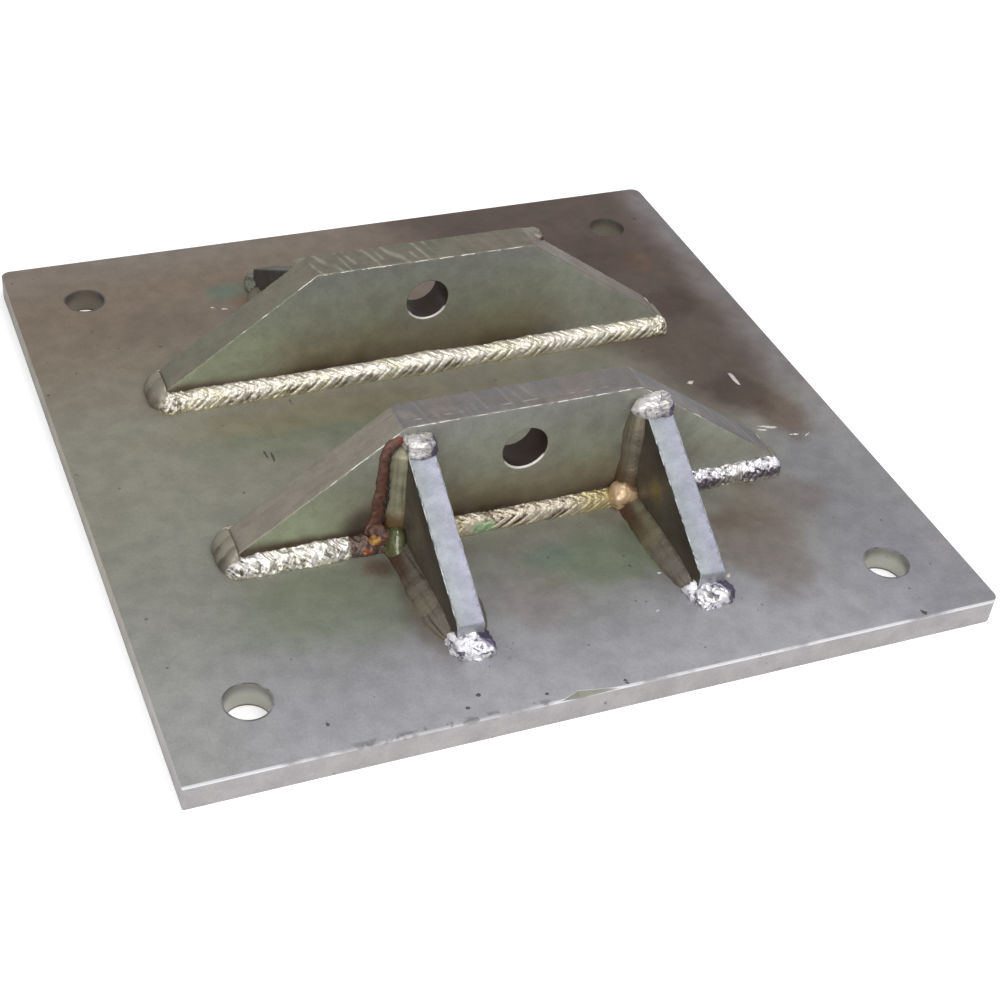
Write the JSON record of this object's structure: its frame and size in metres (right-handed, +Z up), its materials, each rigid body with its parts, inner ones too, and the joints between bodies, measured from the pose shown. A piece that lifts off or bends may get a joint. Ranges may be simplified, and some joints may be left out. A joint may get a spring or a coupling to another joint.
{
  "type": "anchor plate",
  "caption": "Welded steel anchor plate: a square base plate with corner bolt holes and a pair of gusseted upright lugs bored for a cross pin.",
  "frame": {"origin": "middle of the base plate's underside", "axes": "+Z up out of the plate, X along the two lugs, +Y from the front edge to the back edge and along the pin"},
  "size_m": [0.3, 0.3, 0.06],
  "materials": {
    "plate_steel": "mill scale plate, worn bright at the front, with brown heat tint",
    "lug_steel": "mill scale plate with torch-cut edges",
    "gusset_steel": "sheared and ground plate",
    "weld_metal": "bright rippled weld bead with straw tint",
    "weld_tinted": "smooth weld bead with straw, green and brown tint",
    "weld_bright": "bright rough weld cap"
  },
  "bodies": {
    "root": {"base_plate": "plate_steel", "front_lug": "lug_steel", "gusset_front_left": "gusset_steel", "gusset_front_right": "gusset_steel", "gusset_rear_left": "gusset_steel", "gusset_rear_right": "gusset_steel", "rear_lug": "lug_steel", "weld_front_lug_end_left": "weld_metal", "weld_front_lug_end_right": "weld_metal", "weld_front_lug_inside": "weld_metal", "weld_front_lug_outside_left": "weld_metal", "weld_front_lug_outside_middle": "weld_metal", "weld_front_lug_outside_right": "weld_metal", "weld_gusset_front_left_cap": "weld_bright", "weld_gusset_front_left_corner_left": "weld_tinted", "weld_gusset_front_left_corner_right": "weld_tinted", "weld_gusset_front_left_foot_left": "weld_tinted", "weld_gusset_front_left_foot_right": "weld_tinted", "weld_gusset_front_left_toe": "weld_bright", "weld_gusset_front_left_upright_left": "weld_tinted", "weld_gusset_front_left_upright_right": "weld_tinted", "weld_gusset_front_right_cap": "weld_bright", "weld_gusset_front_right_corner_left": "weld_tinted", "weld_gusset_front_right_corner_right": "weld_tinted", "weld_gusset_front_right_foot_left": "weld_tinted", "weld_gusset_front_right_foot_right": "weld_tinted", "weld_gusset_front_right_toe": "weld_bright", "weld_gusset_front_right_upright_left": "weld_tinted", "weld_gusset_front_right_upright_right": "weld_tinted", "weld_gusset_rear_left_cap": "weld_bright", "weld_gusset_rear_left_corner_left": "weld_tinted", "weld_gusset_rear_left_corner_right": "weld_tinted", "weld_gusset_rear_left_foot_left": "weld_tinted", "weld_gusset_rear_left_foot_right": "weld_tinted", "weld_gusset_rear_left_toe": "weld_bright", "weld_gusset_rear_left_upright_left": "weld_tinted", "weld_gusset_rear_left_upright_right": "weld_tinted", "weld_gusset_rear_right_cap": "weld_bright", "weld_gusset_rear_right_corner_left": "weld_tinted", "weld_gusset_rear_right_corner_right": "weld_tinted", "weld_gusset_rear_right_foot_left": "weld_tinted", "weld_gusset_rear_right_foot_right": "weld_tinted", "weld_gusset_rear_right_toe": "weld_bright", "weld_gusset_rear_right_upright_left": "weld_tinted", "weld_gusset_rear_right_upright_right": "weld_tinted", "weld_rear_lug_end_left": "weld_metal", "weld_rear_lug_end_right": "weld_metal", "weld_rear_lug_inside": "weld_metal", "weld_rear_lug_outside_left": "weld_metal", "weld_rear_lug_outside_middle": "weld_metal", "weld_rear_lug_outside_right": "weld_metal"}
  },
  "joints": []
}
